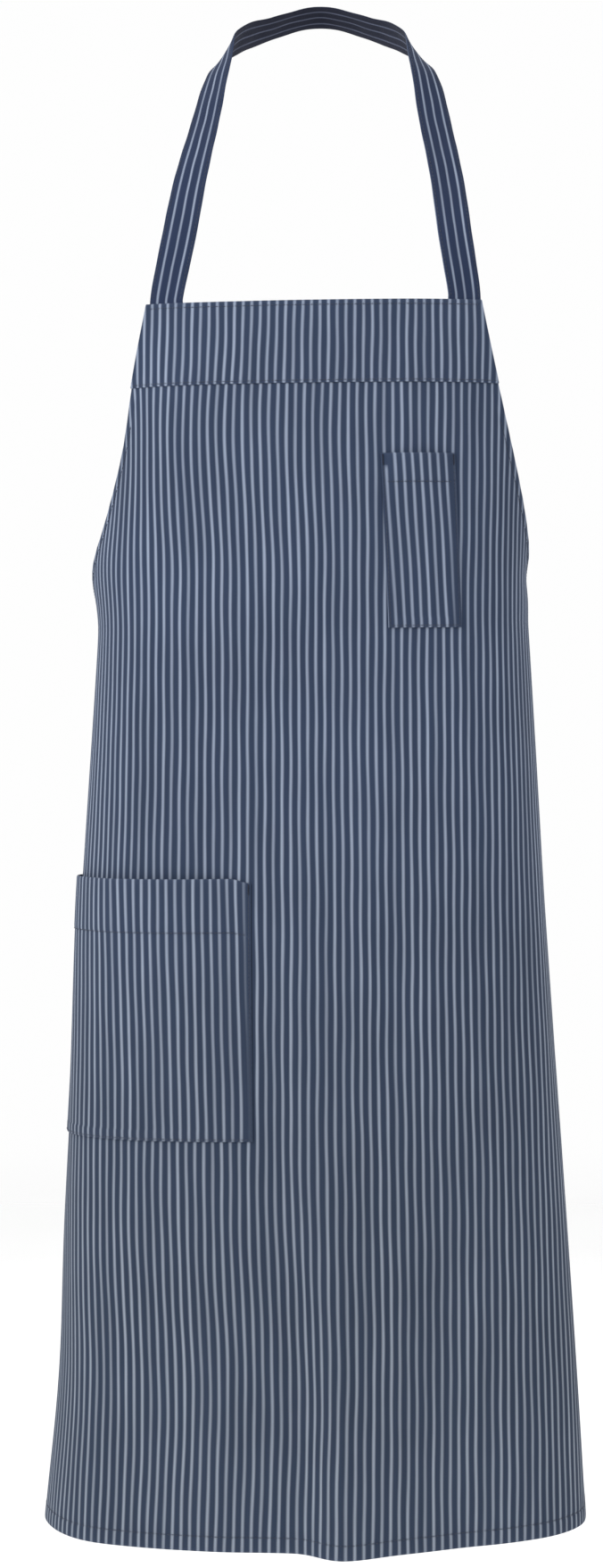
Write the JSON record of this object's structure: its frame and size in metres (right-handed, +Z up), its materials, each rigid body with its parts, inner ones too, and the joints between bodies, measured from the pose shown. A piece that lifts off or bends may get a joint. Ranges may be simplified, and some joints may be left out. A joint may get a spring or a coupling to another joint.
{
  "type": "full-length bib apron",
  "caption": "Worn full-length bib apron in striped cloth with a fixed neck strap, a facing band, a slim bib pocket, a hip pocket and two waist ties that protects the wearer from neck to shin.",
  "frame": {"origin": "the middle of the neck strap's inner face, where the strap rests on the back of the neck", "axes": "+Z up, the front of the apron faces -Y, +X is the wearer's left"},
  "size_m": [0.4438, 0.2133, 1.2608],
  "materials": {
    "striped_cloth": "matt woven cotton blend, navy with fine pale stripes",
    "strap_cloth": "matt woven cotton blend, dark navy with three or four pale stripes",
    "thread": "navy sewing thread with a slight sheen"
  },
  "bodies": {
    "strap": {"neck_strap": "strap_cloth", "neck_strap_inner_seam": "thread", "neck_strap_outer_seam": "thread"},
    "apron": {"apron_panel": "striped_cloth", "bib_band": "striped_cloth", "bib_band_seam": "thread", "bib_pocket": "striped_cloth", "bib_pocket_hem": "striped_cloth", "bib_pocket_hem_stitch": "thread", "bib_pocket_left_tack": "thread", "bib_pocket_right_tack": "thread", "bib_pocket_seam": "thread", "bib_top_stitch": "thread", "bottom_hem": "striped_cloth", "bottom_hem_stitch": "thread", "hip_pocket": "striped_cloth", "hip_pocket_hem": "striped_cloth", "hip_pocket_hem_stitch": "thread", "hip_pocket_left_tack": "thread", "hip_pocket_right_tack": "thread", "hip_pocket_seam": "thread", "left_armhole_hem": "striped_cloth", "left_armhole_stitch": "thread", "left_side_hem": "striped_cloth", "left_side_stitch": "thread", "left_strap_box_stitch": "thread", "left_strap_end": "strap_cloth", "left_tie_box_stitch": "thread", "left_tie_end": "strap_cloth", "right_armhole_hem": "striped_cloth", "right_armhole_stitch": "thread", "right_side_hem": "striped_cloth", "right_side_stitch": "thread", "right_strap_box_stitch": "thread", "right_strap_end": "strap_cloth", "right_tie_box_stitch": "thread", "right_tie_end": "strap_cloth"},
    "left_tie": {"left_tie": "strap_cloth", "left_tie_seam": "thread"},
    "right_tie": {"right_tie": "strap_cloth", "right_tie_seam": "thread"}
  },
  "joints": [
    {"name": "bib_swing", "type": "hinge", "parent": "strap", "child": "apron", "pos_m": [0, -0.1446, -0.252], "axis": [-1, 0, 0], "range_deg": [-10, 90]},
    {"name": "left_tie_swing", "type": "hinge", "parent": "apron", "child": "left_tie", "pos_m": [0.14067, -0.00228, -0.553], "axis": [0.8677, 0.4971, 0], "range_deg": [0, 96]},
    {"name": "right_tie_swing", "type": "hinge", "parent": "apron", "child": "right_tie", "pos_m": [-0.14067, -0.00228, -0.553], "axis": [0.8677, -0.4971, 0], "range_deg": [0, 84]}
  ]
}
